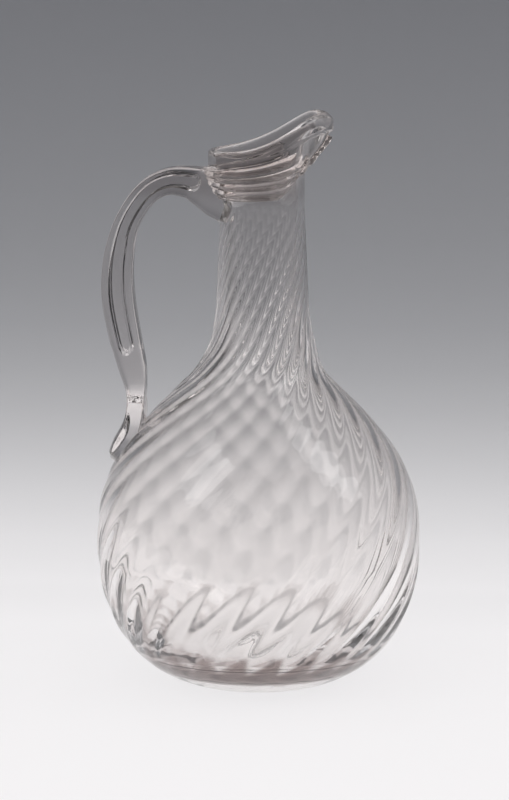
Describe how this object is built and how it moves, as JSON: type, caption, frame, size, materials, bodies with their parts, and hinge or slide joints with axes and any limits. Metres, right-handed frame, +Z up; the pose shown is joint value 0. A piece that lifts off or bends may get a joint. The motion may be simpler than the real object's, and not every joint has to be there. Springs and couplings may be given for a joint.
{
  "type": "carafe",
  "caption": "Blown glass carafe: round body with ribs twisted to the right, slim neck, mouth drawn up into a spout, wound threads under the lip, drawn handle with a thumb-pressed pad.",
  "frame": {"origin": "on the axis of the body, at the height of the surface that the foot ring rests on", "axes": "+Z up along the body's axis, +X towards the spout, -X towards the handle"},
  "size_m": [0.133, 0.133, 0.2356],
  "materials": {
    "blown_glass": "clear, fire polished, faintly warm grey",
    "trailed_glass": "clear, fire polished, laid on hot",
    "drawn_glass": "clear, drawn, smooth"
  },
  "bodies": {
    "root": {"vessel": "blown_glass", "lip_ledge": "trailed_glass", "neck_threads": "trailed_glass", "handle": "drawn_glass", "spout_strip": "trailed_glass", "thread_drop": "trailed_glass", "pontil_scar": "blown_glass"}
  },
  "joints": []
}
